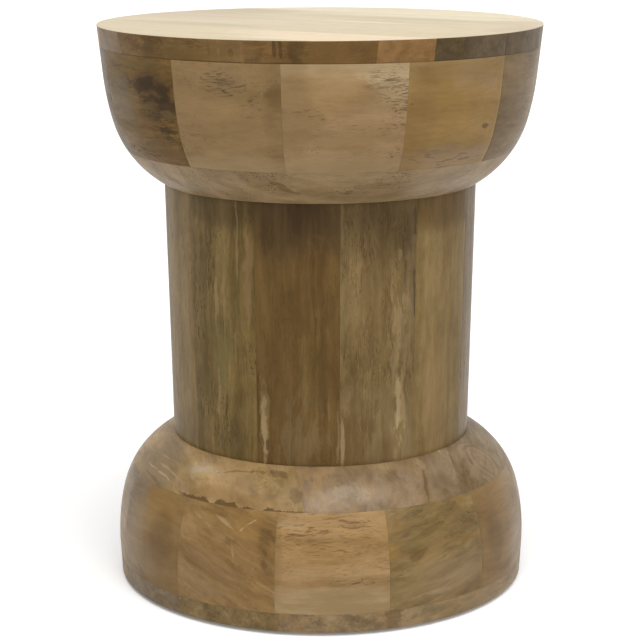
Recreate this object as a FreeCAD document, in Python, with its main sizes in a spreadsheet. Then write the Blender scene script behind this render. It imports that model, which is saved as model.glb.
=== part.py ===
"""A round pedestal side table of solid wood, turned from glued-up stock.

A shallow bowl-shaped head and a rounded base are each a ring of twelve blocks between two boards of
edge-glued planks. A column of twelve coopered staves stands between them, with a turned tenon at each
end. A round plug closes each end of the column, and wood screws draw the plugs against the boards.
Lengths are in millimetres, +Z is up, and the origin is the middle of the underside. The front is -Y.
"""

import FreeCAD
import Part
import Sketcher
import math
import os

Vector = FreeCAD.Vector
Constraint = Sketcher.Constraint

# Driving sizes, each written once
SIZES = {
    # heights of the layers, from the floor up
    "pad_thickness": 3.0,
    "plate_thickness": 15.0,
    "base_ring_height": 77.5,
    "crown_thickness": 27.0,
    "column_length": 208.0,
    "bowl_floor_thickness": 27.5,
    "bowl_ring_height": 82.0,
    "top_thickness": 17.0,
    # outside of the turning
    "top_radius": 178.5,
    "base_radius": 169.5,
    "base_draft": 1.2,
    "column_head_radius": 126.8,
    "column_foot_radius": 122.5,
    "bowl_lip": 0.8,
    "crown_lip": 0.8,
    "rim_chamfer": 0.8,
    "sole_chamfer": 1.5,
    # stock that the hidden inside leaves
    "bowl_block_depth": 62.0,
    "base_block_depth": 55.0,
    "stave_thickness": 28.0,
    # joint between the column and the boards
    "tenon_length": 6.0,
    "tenon_shoulder": 3.0,
    "plug_thickness": 30.0,
    "glue_gap": 0.2,
    # screws that hold the column
    "screw_length": 40.0,
    "screw_radius": 2.5,
    "screw_head_radius": 4.8,
    "screw_head_height": 3.2,
    "screw_point_length": 6.0,
    "screw_clearance": 0.1,
    # felt pads under the base
    "pad_radius": 12.5,
    "pad_inset": 14.0,
    # how far cutting sketches run past the stock
    "overrun": 8.0,
    # directions in degrees, turning left from +X as seen from above
    "front_angle": 270.0,
    "top_grain_angle": 329.0,
    "floor_grain_angle": 13.0,
    "crown_grain_angle": 283.0,
    "plate_grain_angle": 52.0,
    "screw_angle": 303.0,
    "pad_angle": 45.0,
}

# Points of the two outlines, as shares of each form's height and of its overhang past the column,
# and the circle that the screws stand on, as a share of the plug's radius
PLACE_SHARES = {
    "bowl_flare_height_share": 0.687,
    "bowl_flare_overhang_share": 0.918,
    "bowl_turn_height_share": 0.406,
    "bowl_turn_overhang_share": 0.786,
    "base_belly_height_share": 0.192,
    "base_turn_height_share": 0.592,
    "base_turn_overhang_share": 0.904,
    "screw_circle_share": 0.774,
    "waste_reach_share": 1.5,
}

# Joints round each ring, as shares of a full turn counted from the front towards +X
RING_JOINT_SHARES = {
    "bowl": (-0.196, -0.107, -0.026, 0.060, 0.144, 0.228, 0.311, 0.394, 0.476, 0.560, 0.642, 0.722),
    "column": (-0.148, -0.066, 0.019, 0.100, 0.183, 0.268, 0.350, 0.435, 0.517, 0.600, 0.683, 0.768),
    "base": (-0.116, -0.034, 0.051, 0.136, 0.219, 0.303, 0.388, 0.469, 0.553, 0.638, 0.719, 0.801),
}

# Joints across each board, as shares of the board's radius, or of the column's bore for the two boards
# that the screws go through, so that each screw keeps to the middle of its plank
BOARD_JOINT_SHARES = {
    "top": (-0.875, -0.710, -0.510, -0.130, 0.250, 0.620),
    "floor": (-0.907, 0.038, 0.945),
    "crown": (-0.500, 0.520, 0.870),
    "plate": (-0.450, 0.060, 0.520),
}

SCREW_COUNT = 4
PAD_COUNT = 4

doc = FreeCAD.newDocument("side_table")
sheet = doc.addObject("Spreadsheet::Sheet", "sizes")


def joint_alias(group, number):
    """Name of the cell that holds one joint's share."""
    return f"{group}_joint_{number:02d}_share"


def fill_sheet():
    """Writes every driving size and share into the sheet, one aliased cell each."""
    cells = dict(SIZES)
    cells.update(PLACE_SHARES)
    for table in (RING_JOINT_SHARES, BOARD_JOINT_SHARES):
        for group, shares in table.items():
            for number, share in enumerate(shares, 1):
                cells[joint_alias(group, number)] = share
    for row, (alias, number) in enumerate(cells.items(), 1):
        sheet.set(f"A{row}", alias.replace("_", " "))
        sheet.set(f"B{row}", str(number))
        sheet.setAlias(f"B{row}", alias)
    doc.recompute()


def size(alias):
    """The expression that reads one cell."""
    return f"sizes.{alias}"


def total(*terms):
    """The expression that adds several."""
    return "(" + " + ".join(terms) + ")"


def less(first, *rest):
    """The expression that takes the later terms from the first."""
    return "(" + " - ".join((first,) + rest) + ")"


def share_of(share, length):
    """The expression of a share of a length."""
    return f"({share} * {length})"


def value(expression):
    """What an expression comes to now."""
    result = sheet.evalExpression(expression)
    return float(getattr(result, "Value", result))


fill_sheet()

# Levels of the layers, from the floor up
plate_bottom = size("pad_thickness")
base_ring_bottom = total(plate_bottom, size("plate_thickness"))
crown_bottom = total(base_ring_bottom, size("base_ring_height"))
column_foot = total(crown_bottom, size("crown_thickness"))
column_head = total(column_foot, size("column_length"))
bowl_ring_bottom = total(column_head, size("bowl_floor_thickness"))
top_bottom = total(bowl_ring_bottom, size("bowl_ring_height"))
table_height = total(top_bottom, size("top_thickness"))

# Radii that several pieces share
bowl_lip_radius = total(size("column_head_radius"), size("bowl_lip"))
crown_lip_radius = total(size("column_foot_radius"), size("crown_lip"))
sole_radius = less(size("base_radius"), size("base_draft"))
column_bore = less(size("column_foot_radius"), size("stave_thickness"))
head_tenon_radius = less(size("column_head_radius"), size("tenon_shoulder"))
foot_tenon_radius = less(size("column_foot_radius"), size("tenon_shoulder"))
recess_depth = total(size("tenon_length"), size("glue_gap"))
plug_radius = less(column_bore, size("glue_gap"))
screw_circle = share_of(size("screw_circle_share"), plug_radius)


def origin_plane(body, role):
    """One of a body's own origin planes or axes."""
    return next(f for f in body.Origin.OriginFeatures if f.Role == role)


def new_body(label, angle="0"):
    """A body turned about the upright axis by an angle in degrees."""
    body = doc.addObject("PartDesign::Body", label)
    body.Label = label
    turn = f"placement(vector(0; 0; 0); rotation(vector(0; 0; 1); {angle}))"
    body.setExpression("Placement", turn)
    return body


def new_sketch(body, name, role="XY_Plane", level="0"):
    """A sketch on a body's own origin plane, lifted to a level."""
    sketch = body.newObject("Sketcher::SketchObject", name)
    sketch.AttachmentSupport = (origin_plane(body, role), [""])
    sketch.MapMode = "FlatFace"
    sketch.setExpression("AttachmentOffset.Base.z", level)
    return sketch


def pin_point(sketch, edge, end, x, y):
    """Ties one end of an edge to a place given by two expressions."""
    for kind, expression in (("DistanceX", x), ("DistanceY", y)):
        index = sketch.addConstraint(Constraint(kind, -1, 1, edge, end, value(expression)))
        sketch.setExpression(f"Constraints[{index}]", expression)


def add_line(sketch, start, end):
    """A straight edge between two points of expressions."""
    points = [Vector(value(x), value(y), 0) for x, y in (start, end)]
    return sketch.addGeometry(Part.LineSegment(*points), False)


def closed_outline(sketch, points):
    """A closed polygon whose corners are all tied to the sheet."""
    count = len(points)
    edges = [add_line(sketch, points[i], points[(i + 1) % count]) for i in range(count)]
    for i in range(count):
        sketch.addConstraint(Constraint("Coincident", edges[i], 2, edges[(i + 1) % count], 1))
        pin_point(sketch, edges[i], 1, *points[i])
    return edges


def tangent_arc(start, end, heading):
    """Arc from start to end that leaves start along heading: its geometry, its turn and its last heading."""
    side = Vector(-heading.y, heading.x, 0)
    chord = end - start
    offset = chord.dot(chord) / (2 * chord.dot(side))
    centre = start + side * offset
    radius = abs(offset)
    turn = math.copysign(1, offset)
    first = math.atan2(start.y - centre.y, start.x - centre.x)
    last = math.atan2(end.y - centre.y, end.x - centre.x)
    spoke = end - centre
    leaving = Vector(-spoke.y, spoke.x, 0) * (turn / radius)
    limits = (first, last) if turn > 0 else (last, first)
    circle = Part.Circle(centre, Vector(0, 0, 1), radius)
    return Part.ArcOfCircle(circle, *limits), turn, leaving


def curved_outline(sketch, straight, curve, waste):
    """A closed outline: a straight run, two arcs that follow it smoothly, then the waste's corners.

    straight has the run's two ends, curve the ends of the two arcs, and waste the corners after them,
    the last of which leads back to the run's start.
    """
    run = add_line(sketch, *straight)
    pin_point(sketch, run, 1, *straight[0])
    pin_point(sketch, run, 2, *straight[1])
    ends = [Vector(value(x), value(y), 0) for x, y in straight]
    heading = (ends[1] - ends[0]).normalize()
    before, before_end, start = run, 2, ends[1]
    for x, y in curve:
        stop = Vector(value(x), value(y), 0)
        geometry, turn, heading = tangent_arc(start, stop, heading)
        arc = sketch.addGeometry(geometry, False)
        near, far = (1, 2) if turn > 0 else (2, 1)
        sketch.addConstraint(Constraint("Tangent", before, before_end, arc, near))
        pin_point(sketch, arc, far, x, y)
        before, before_end, start = arc, far, stop
    corners = [curve[-1]] + list(waste)
    for i in range(len(waste)):
        edge = add_line(sketch, corners[i], corners[i + 1])
        sketch.addConstraint(Constraint("Coincident", before, before_end, edge, 1))
        pin_point(sketch, edge, 2, *corners[i + 1])
        before, before_end = edge, 2
    last = add_line(sketch, waste[-1], straight[0])
    sketch.addConstraint(Constraint("Coincident", before, before_end, last, 1))
    sketch.addConstraint(Constraint("Coincident", last, 2, run, 1))


def add_pad(body, sketch, length):
    """Raises a sketch by a length."""
    pad = body.newObject("PartDesign::Pad", body.Name + "_stock")
    pad.Profile = sketch
    pad.setExpression("Length", length)
    return pad


def add_pocket(body, sketch, depth, name, upward=False):
    """Sinks a sketch into the stock, down or up."""
    pocket = body.newObject("PartDesign::Pocket", f"{body.Name}_{name}")
    pocket.Profile = sketch
    pocket.Reversed = upward
    pocket.setExpression("Length", depth)
    return pocket


def add_turning(body, sketch):
    """Turns the outside of the stock on the lathe."""
    groove = body.newObject("PartDesign::Groove", body.Name + "_turning")
    groove.Profile = sketch
    groove.ReferenceAxis = (sketch, ["V_Axis"])
    groove.Angle = 360
    return groove


def bowl_stock():
    """How far the bowl's unturned stock reaches from the axis."""
    return total(size("top_radius"), size("overrun"))


def base_stock():
    """How far the base's unturned stock reaches from the axis."""
    return total(size("base_radius"), size("overrun"))


def column_stock():
    """How far the column's unturned stock reaches from the axis."""
    widest = f"max({size('column_head_radius')}; {size('column_foot_radius')})"
    return total(widest, size("overrun"))


def turn_bowl(body):
    """Cuts the bowl's outline: a slight flare under the rim, then two arcs in to the column."""
    sketch = new_sketch(body, body.Name + "_bowl_outline", "XZ_Plane")
    height = less(table_height, column_head)
    overhang = less(size("top_radius"), bowl_lip_radius)

    def place(part):
        across = total(bowl_lip_radius, share_of(size(f"bowl_{part}_overhang_share"), overhang))
        return across, total(column_head, share_of(size(f"bowl_{part}_height_share"), height))

    waste_radius = share_of(size("waste_reach_share"), bowl_stock())
    below = less(column_head, size("overrun"))
    above = total(table_height, size("overrun"))
    chamfer_radius = less(size("top_radius"), size("rim_chamfer"))
    chamfer_level = less(table_height, size("rim_chamfer"))
    curved_outline(
        sketch,
        straight=[(size("top_radius"), chamfer_level), place("flare")],
        curve=[place("turn"), (bowl_lip_radius, column_head)],
        waste=[
            (bowl_lip_radius, below),
            (waste_radius, below),
            (waste_radius, above),
            (chamfer_radius, above),
            (chamfer_radius, table_height),
        ],
    )
    return add_turning(body, sketch)


def turn_base(body):
    """Cuts the base's outline: a nearly upright side, then two arcs in to the column."""
    sketch = new_sketch(body, body.Name + "_base_outline", "XZ_Plane")
    height = less(column_foot, plate_bottom)
    overhang = less(size("base_radius"), crown_lip_radius)
    belly_level = total(plate_bottom, share_of(size("base_belly_height_share"), height))
    turn_level = total(plate_bottom, share_of(size("base_turn_height_share"), height))
    turn_radius = total(crown_lip_radius, share_of(size("base_turn_overhang_share"), overhang))
    waste_radius = share_of(size("waste_reach_share"), base_stock())
    above = total(column_foot, size("overrun"))
    below = less(plate_bottom, size("overrun"))
    chamfer_radius = less(sole_radius, size("sole_chamfer"))
    chamfer_level = total(plate_bottom, size("sole_chamfer"))
    curved_outline(
        sketch,
        straight=[(sole_radius, chamfer_level), (size("base_radius"), belly_level)],
        curve=[(turn_radius, turn_level), (crown_lip_radius, column_foot)],
        waste=[
            (crown_lip_radius, above),
            (waste_radius, above),
            (waste_radius, below),
            (chamfer_radius, below),
            (chamfer_radius, plate_bottom),
        ],
    )
    return add_turning(body, sketch)


def turn_column(body):
    """Cuts the column's taper and the shouldered tenon at each end."""
    sketch = new_sketch(body, body.Name + "_column_outline", "XZ_Plane")
    waste_radius = share_of(size("waste_reach_share"), column_stock())
    below = less(column_foot, size("tenon_length"), size("overrun"))
    above = total(column_head, size("tenon_length"), size("overrun"))
    closed_outline(
        sketch,
        [
            (foot_tenon_radius, below),
            (waste_radius, below),
            (waste_radius, above),
            (head_tenon_radius, above),
            (head_tenon_radius, column_head),
            (size("column_head_radius"), column_head),
            (size("column_foot_radius"), column_foot),
            (foot_tenon_radius, column_foot),
        ],
    )
    return add_turning(body, sketch)


def ring_wedge(group, number, label, inner, stock, bottom, height):
    """One wedge-shaped block of a ring, with a flat back, before it is turned."""
    count = len(RING_JOINT_SHARES[group])
    first = size(joint_alias(group, number))
    last = size(joint_alias(group, number % count + 1))
    if number == count:
        last = total(last, "1")
    half_angle = f"(180 deg * {less(last, first)})"
    middle = f"{size('front_angle')} + 180 * {total(first, last)}"
    body = new_body(label, middle)
    sketch = new_sketch(body, label + "_plan", level=bottom)
    corners = []
    for reach, side in ((inner, "-1"), (stock, "-1"), (stock, "1"), (inner, "1")):
        corners.append((reach, f"({side} * {reach} * tan({half_angle}))"))
    closed_outline(sketch, corners)
    add_pad(body, sketch, height)
    return body


def board_plank(group, number, label, reach, stock, bottom, thickness):
    """One plank of a board, between two joints at shares of a reach, before it is turned."""
    shares = BOARD_JOINT_SHARES[group]
    sides = [f"(-1 * {stock})"]
    sides += [share_of(size(joint_alias(group, n)), reach) for n in range(1, len(shares) + 1)]
    sides.append(stock)
    near, far = sides[number - 1], sides[number]
    body = new_body(label, size(f"{group}_grain_angle"))
    sketch = new_sketch(body, label + "_plan", level=bottom)
    back = f"(-1 * {stock})"
    closed_outline(sketch, [(back, near), (stock, near), (stock, far), (back, far)])
    add_pad(body, sketch, thickness)
    return body


def circle_places(count, circle_radius, angle):
    """Centres of equally spaced holes, from an angle in degrees."""
    places = []
    for number in range(count):
        turned = f"(1 deg * ({angle} + 360 * {number} / {count}))"
        places.append((f"({circle_radius} * cos{turned})", f"({circle_radius} * sin{turned})"))
    return places


def circles_sketch(body, name, level, radius, places):
    """A sketch of equal circles at places given by expressions."""
    sketch = new_sketch(body, f"{body.Name}_{name}", level=level)
    for x, y in places:
        centre = Vector(value(x), value(y), 0)
        circle = sketch.addGeometry(Part.Circle(centre, Vector(0, 0, 1), value(radius)), False)
        index = sketch.addConstraint(Constraint("Radius", circle, value(radius)))
        sketch.setExpression(f"Constraints[{index}]", radius)
        pin_point(sketch, circle, 3, x, y)
    return sketch


def drill_board(body, grain_angle, column_face, outer_face, thickness, upward):
    """Screw holes through a board, each with a counterbore in the face away from the column."""
    angle = f"({size('screw_angle')} - {grain_angle})"
    places = circle_places(SCREW_COUNT, screw_circle, angle)
    hole_radius = total(size("screw_radius"), size("screw_clearance"))
    holes = circles_sketch(body, "screw_holes", column_face, hole_radius, places)
    add_pocket(body, holes, thickness, "drilled", upward=upward)
    bore_radius = total(size("screw_head_radius"), size("screw_clearance"))
    bores = circles_sketch(body, "screw_bores", outer_face, bore_radius, places)
    add_pocket(body, bores, size("screw_head_height"), "counterbored", upward=not upward)


def make_ring(group, name, inner, stock, bottom, height, turn):
    """A ring of turned wedges, numbered from the left of the front."""
    pieces = []
    for number in range(1, len(RING_JOINT_SHARES[group]) + 1):
        label = f"{name}_{number:02d}"
        body = ring_wedge(group, number, label, inner, stock, bottom, height)
        turn(body)
        pieces.append(body)
    return pieces


def make_top():
    """The table's top, seven planks edge to edge."""
    pieces = []
    for number in range(1, len(BOARD_JOINT_SHARES["top"]) + 2):
        body = board_plank(
            "top", number, f"top_plank_{number}", size("top_radius"), bowl_stock(),
            top_bottom, size("top_thickness"),
        )
        turn_bowl(body)
        pieces.append(body)
    return pieces


def make_bowl_floor():
    """The board under the bowl, recessed below for the column's head."""
    pieces = []
    for number in range(1, len(BOARD_JOINT_SHARES["floor"]) + 2):
        body = board_plank(
            "floor", number, f"bowl_floor_plank_{number}", column_bore, bowl_stock(),
            column_head, size("bowl_floor_thickness"),
        )
        radius = total(head_tenon_radius, size("glue_gap"))
        recess = circles_sketch(body, "recess", column_head, radius, [("0", "0")])
        add_pocket(body, recess, recess_depth, "recessed", upward=True)
        drill_board(
            body, size("floor_grain_angle"), column_head, bowl_ring_bottom,
            size("bowl_floor_thickness"), upward=True,
        )
        turn_bowl(body)
        pieces.append(body)
    return pieces


def make_crown():
    """The base's upper board, recessed above for the column's foot."""
    pieces = []
    for number in range(1, len(BOARD_JOINT_SHARES["crown"]) + 2):
        body = board_plank(
            "crown", number, f"crown_plank_{number}", column_bore, base_stock(),
            crown_bottom, size("crown_thickness"),
        )
        radius = total(foot_tenon_radius, size("glue_gap"))
        recess = circles_sketch(body, "recess", column_foot, radius, [("0", "0")])
        add_pocket(body, recess, recess_depth, "recessed")
        drill_board(
            body, size("crown_grain_angle"), column_foot, crown_bottom,
            size("crown_thickness"), upward=False,
        )
        turn_base(body)
        pieces.append(body)
    return pieces


def make_plate():
    """The board that closes the base underneath."""
    pieces = []
    for number in range(1, len(BOARD_JOINT_SHARES["plate"]) + 2):
        body = board_plank(
            "plate", number, f"base_plate_plank_{number}", size("base_radius"), base_stock(),
            plate_bottom, size("plate_thickness"),
        )
        turn_base(body)
        pieces.append(body)
    return pieces


def make_plug(label, bottom, drilled_face, upward):
    """A round plug in one end of the column, with blind holes for the screws."""
    body = new_body(label, size("screw_angle"))
    disc = circles_sketch(body, "disc", bottom, plug_radius, [("0", "0")])
    add_pad(body, disc, size("plug_thickness"))
    places = circle_places(SCREW_COUNT, screw_circle, "0")
    hole_radius = total(size("screw_radius"), size("screw_clearance"))
    holes = circles_sketch(body, "pilot_holes", drilled_face, hole_radius, places)
    board = size("crown_thickness") if upward else size("bowl_floor_thickness")
    bite = less(total(size("screw_length"), size("tenon_length"), size("screw_clearance")), board)
    add_pocket(body, holes, bite, "drilled", upward=upward)
    return body


def make_screws(label, head_face, direction):
    """Four wood screws whose heads end flush with a face and whose points go up or down."""
    body = new_body(label, size("screw_angle"))
    body.AllowCompound = True
    sketch = new_sketch(body, label + "_side", "XZ_Plane")

    def level(distance):
        return f"({head_face} + {direction} * {distance})"

    head_edge = total(screw_circle, size("screw_head_radius"))
    shank_edge = total(screw_circle, size("screw_radius"))
    point_start = less(size("screw_length"), size("screw_point_length"))
    edges = closed_outline(
        sketch,
        [
            (screw_circle, level("0")),
            (head_edge, level("0")),
            (head_edge, level(size("screw_head_height"))),
            (shank_edge, level(size("screw_head_height"))),
            (shank_edge, level(point_start)),
            (screw_circle, level(size("screw_length"))),
        ],
    )
    screw = body.newObject("PartDesign::Revolution", label + "_turned")
    screw.Profile = sketch
    screw.ReferenceAxis = (sketch, [f"Edge{edges[-1] + 1}"])
    screw.Angle = 360
    doc.recompute()
    pattern = body.newObject("PartDesign::PolarPattern", label + "_round")
    pattern.Originals = [screw]
    pattern.Axis = (origin_plane(body, "Z_Axis"), [""])
    pattern.Angle = 360
    pattern.Occurrences = SCREW_COUNT
    body.Tip = pattern
    return body


def make_pads():
    """Felt pads that the table stands on."""
    body = new_body("floor_pads", size("pad_angle"))
    body.AllowCompound = True
    circle_radius = less(sole_radius, size("pad_inset"), size("pad_radius"))
    places = circle_places(PAD_COUNT, circle_radius, "0")
    discs = circles_sketch(body, "discs", "0", size("pad_radius"), places)
    add_pad(body, discs, size("pad_thickness"))
    return body


def make_table():
    """Every piece of the table, from the top down."""
    pieces = make_top()
    bowl_bore = less(size("top_radius"), size("bowl_block_depth"))
    pieces += make_ring(
        "bowl", "bowl_block", bowl_bore, bowl_stock(), bowl_ring_bottom,
        size("bowl_ring_height"), turn_bowl,
    )
    pieces += make_bowl_floor()
    stave_bottom = less(column_foot, size("tenon_length"))
    stave_length = total(size("column_length"), f"2 * {size('tenon_length')}")
    pieces += make_ring(
        "column", "column_stave", column_bore, column_stock(), stave_bottom, stave_length, turn_column,
    )
    head_plug_top = total(column_head, size("tenon_length"))
    head_plug_bottom = less(head_plug_top, size("plug_thickness"))
    pieces.append(make_plug("column_head_plug", head_plug_bottom, head_plug_top, upward=False))
    pieces.append(make_plug("column_foot_plug", stave_bottom, stave_bottom, upward=True))
    pieces.append(make_screws("head_screws", bowl_ring_bottom, "-1"))
    pieces.append(make_screws("foot_screws", crown_bottom, "1"))
    pieces += make_crown()
    base_bore = less(size("base_radius"), size("base_block_depth"))
    pieces += make_ring(
        "base", "base_block", base_bore, base_stock(), base_ring_bottom,
        size("base_ring_height"), turn_base,
    )
    pieces += make_plate()
    pieces.append(make_pads())
    return pieces


def check(pieces):
    """Stops before anything is written if a feature or a shape failed."""
    for item in doc.Objects:
        if any(word in item.State for word in ("Invalid", "Error")):
            raise RuntimeError(f"{item.Label} did not rebuild: {item.State}")
    for body in pieces:
        if body.Shape.isNull() or not body.Shape.isValid() or not body.Shape.Solids:
            raise RuntimeError(f"{body.Label} has no sound solid")


def write(pieces):
    """Writes each piece to its own file."""
    os.makedirs("parts", exist_ok=True)
    for body in pieces:
        body.Shape.exportStep(f"parts/{body.Label}.step")


table = make_table()
doc.recompute()
check(table)
write(table)
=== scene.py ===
"""The finish of a round pedestal side table turned from glued-up hardwood.

Every visible board, block and stave is its own turned piece with its own timber: one tone and grain
each, cut from a solid pattern, so a joint shows as the change from one piece of wood to the next.
Lengths are in metres, and marks on the wood in millimetres. +Z is up and the front is -Y.
"""

import math
from collections import namedtuple

import bmesh
import bpy
from mathutils import Matrix, Vector, noise


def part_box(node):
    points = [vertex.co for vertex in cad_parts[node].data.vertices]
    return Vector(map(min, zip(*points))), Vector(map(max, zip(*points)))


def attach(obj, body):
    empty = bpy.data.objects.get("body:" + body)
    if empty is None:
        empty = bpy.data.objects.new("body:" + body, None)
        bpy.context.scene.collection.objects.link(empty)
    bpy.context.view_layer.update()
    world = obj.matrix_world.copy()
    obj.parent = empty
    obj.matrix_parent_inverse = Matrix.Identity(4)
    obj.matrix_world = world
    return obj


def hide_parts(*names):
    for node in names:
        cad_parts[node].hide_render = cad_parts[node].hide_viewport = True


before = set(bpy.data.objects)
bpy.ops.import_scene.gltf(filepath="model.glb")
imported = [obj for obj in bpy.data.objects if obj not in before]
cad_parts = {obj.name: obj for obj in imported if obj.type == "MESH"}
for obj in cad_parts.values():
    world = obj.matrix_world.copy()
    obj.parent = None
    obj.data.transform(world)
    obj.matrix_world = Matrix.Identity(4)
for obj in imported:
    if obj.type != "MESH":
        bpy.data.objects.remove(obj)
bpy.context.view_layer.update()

MM = 0.001
FULL_TURN = 2 * math.pi
ORIGIN = Vector((0, 0, 0))
UP = Vector((0, 0, 1))
TOWARDS_BACK = Vector((0, 1, 0))

# Levels of the layers, read from the frame
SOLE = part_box("base_plate_plank_1")[0].z
RING_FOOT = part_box("base_block_01")[0].z
CROWN_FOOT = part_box("base_block_01")[1].z
COLUMN_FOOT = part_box("crown_plank_2")[1].z
COLUMN_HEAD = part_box("bowl_floor_plank_2")[0].z
BOWL_RING_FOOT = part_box("bowl_block_01")[0].z
TOP_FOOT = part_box("bowl_block_01")[1].z
TABLE_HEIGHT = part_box("top_plank_4")[1].z
TENON_LENGTH = COLUMN_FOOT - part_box("column_stave_01")[0].z

# The turned outlines, as the frame has them
TOP_RADIUS = 178.5 * MM
BASE_RADIUS = 169.5 * MM
BASE_DRAFT = 1.2 * MM
HEAD_RADIUS = 126.8 * MM
FOOT_RADIUS = 122.5 * MM
LIP = 0.8 * MM
HEAD_TENON = HEAD_RADIUS - 3.0 * MM
FOOT_TENON = FOOT_RADIUS - 3.0 * MM
GLUE_GAP = 0.2 * MM
BOWL_BORE = TOP_RADIUS - 62.0 * MM
BASE_BORE = BASE_RADIUS - 55.0 * MM
COLUMN_BORE = FOOT_RADIUS - 28.0 * MM

# Where the straight run and the first arc of each outline end, as shares of its overhang and height
BOWL_TURN_SHARES = ((0.918, 0.687), (0.786, 0.406))
BASE_TURN_SHARES = ((1.0, 0.192), (0.904, 0.592))

# The wood screws, round the axis of the table
SCREW_LENGTH = 40.0 * MM
SCREW_RADIUS = 2.5 * MM
SCREW_HEAD_RADIUS = 4.8 * MM
SCREW_HEAD_HEIGHT = 3.2 * MM
SCREW_POINT_LENGTH = 6.0 * MM
SCREW_CIRCLE = 0.774 * (COLUMN_BORE - GLUE_GAP)
SCREW_ANGLE = math.radians(303)
SCREW_COUNT = 4
SCREW_FACETS = 32

# Joints round each ring, as shares of a turn from the front towards +X
BOWL_JOINT_SHARES = (
    -0.196, -0.107, -0.026, 0.06, 0.144, 0.228, 0.311, 0.394, 0.476, 0.56, 0.642, 0.722, 0.804,
)
COLUMN_JOINT_SHARES = (
    -0.148, -0.066, 0.019, 0.1, 0.183, 0.268, 0.35, 0.435, 0.517, 0.6, 0.683, 0.768, 0.852,
)
BASE_JOINT_SHARES = (
    -0.116, -0.034, 0.051, 0.136, 0.219, 0.303, 0.388, 0.469, 0.553, 0.638, 0.719, 0.801, 0.884,
)
QUARTER = 0.25

# Joints across each board, by shares of its radius or of the column's bore
TOP_JOINTS = [share * TOP_RADIUS for share in (-0.875, -0.71, -0.51, -0.13, 0.25, 0.62)]
FLOOR_JOINTS = [share * COLUMN_BORE for share in (-0.907, 0.038, 0.945)]
CROWN_JOINTS = [share * COLUMN_BORE for share in (-0.5, 0.52, 0.87)]
PLATE_JOINTS = [share * BASE_RADIUS for share in (-0.45, 0.06, 0.52)]
TOP_GRAIN = math.radians(329)
FLOOR_GRAIN = math.radians(13)
CROWN_GRAIN = math.radians(283)
PLATE_GRAIN = math.radians(52)

# How finely the turning is cut
ARC_STEP = 2.0 * MM
TURN_STEPS = 360
JOINT_BEVEL = 0.2 * MM
SHARP_ANGLE = math.radians(28)
CUT_TOLERANCE = 1e-7
WELD_DISTANCE = 1e-6

# How far the sanded surface wanders inwards, how often in a metre, and what sets pieces apart
WANDER = 0.12 * MM
WANDER_PITCH = 28
WANDER_SHIFTS = (1.7, 0.9, 2.3)
BOARD_SEED = 20

# Where the top board's side ends under its face, and where a dark line runs along the joint over its foot
FACE_EDGE = (TABLE_HEIGHT - 0.5 * MM, TABLE_HEIGHT - 0.2 * MM)
SEAM_EDGE = (TOP_FOOT + 1.1 * MM, TOP_FOOT + 0.3 * MM)
SEAM_WANDER = 1.5

# The torn edge of the crown: its line, how far it strays and how soft its border is
TORN_LINE = 0.42
TORN_STRAY = 18 * MM
TORN_BORDER = (-0.3 * MM, 0.4 * MM)
TORN_ACROSS = (-90 * MM, -80 * MM)
TORN_ALONG = (55 * MM, 70 * MM)
TORN_DEPTH = 6

# The knot: the stretch of its rings, their radians in a metre, their warp and where they end
KNOT_STRETCH = (1.2, 0.85, 0.85)
KNOT_RINGS = 850
KNOT_WARP = 12
KNOT_EDGE = (30 * MM, 14 * MM)

# The camera that took the picture, fitted to the rims of the table
CAMERA_SENSOR = 36
CAMERA_LENS = 111.17
CAMERA_PLACE = (0, -1.5988, 0.5756)
CAMERA_DIP = 0.22369
CAMERA_ROLL = 0.0019
CAMERA_TURN = -0.00015

# The lamps: elevation, turn from the front towards +X and spread in degrees, and strength
SUNS = {"overhead": (78, 8, 50, 1.25), "front": (50, 12, 60, 1.4)}
SKY_LIGHT = 0.4
WHITE = (1, 1, 1)
FLOOR_HALF_WIDTH = 40
FLOOR_WHITE = (0.8, 0.8, 0.8)
FLOOR_GLOW = (0.14, 0.14, 0.14)

# The rays by which the white room is seen, straight on or in a sheen
SEEING_RAYS = ("Is Camera Ray", "Is Glossy Ray", "Is Transmission Ray")
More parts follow.
